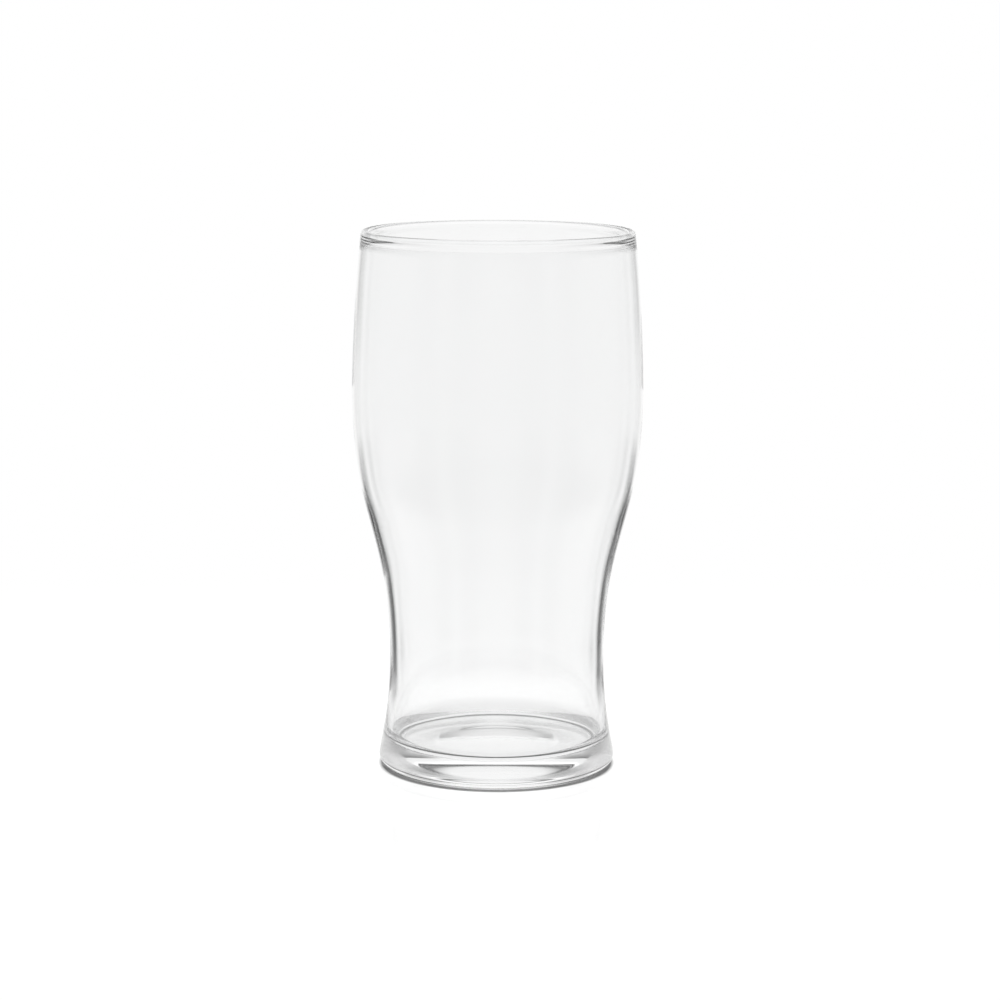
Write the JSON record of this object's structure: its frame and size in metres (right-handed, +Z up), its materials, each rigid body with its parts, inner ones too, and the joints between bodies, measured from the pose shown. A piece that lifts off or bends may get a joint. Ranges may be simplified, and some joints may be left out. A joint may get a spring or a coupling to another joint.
{
  "type": "pint glass",
  "caption": "Tulip-shaped pint glass: round foot, narrow waist, full belly and a slightly closed mouth with a rolled rim, in clear glass.",
  "frame": {"origin": "middle of the standing ring under the foot, on the surface the glass stands on", "axes": "+Z up along the glass's axis of revolution, from the foot to the mouth; X and Y are alike"},
  "size_m": [0.0832, 0.0832, 0.155],
  "materials": {
    "clear_glass": "fire-polished clear soda-lime glass, smooth and glossy"
  },
  "bodies": {
    "root": {"glass_body": "clear_glass"}
  },
  "joints": []
}
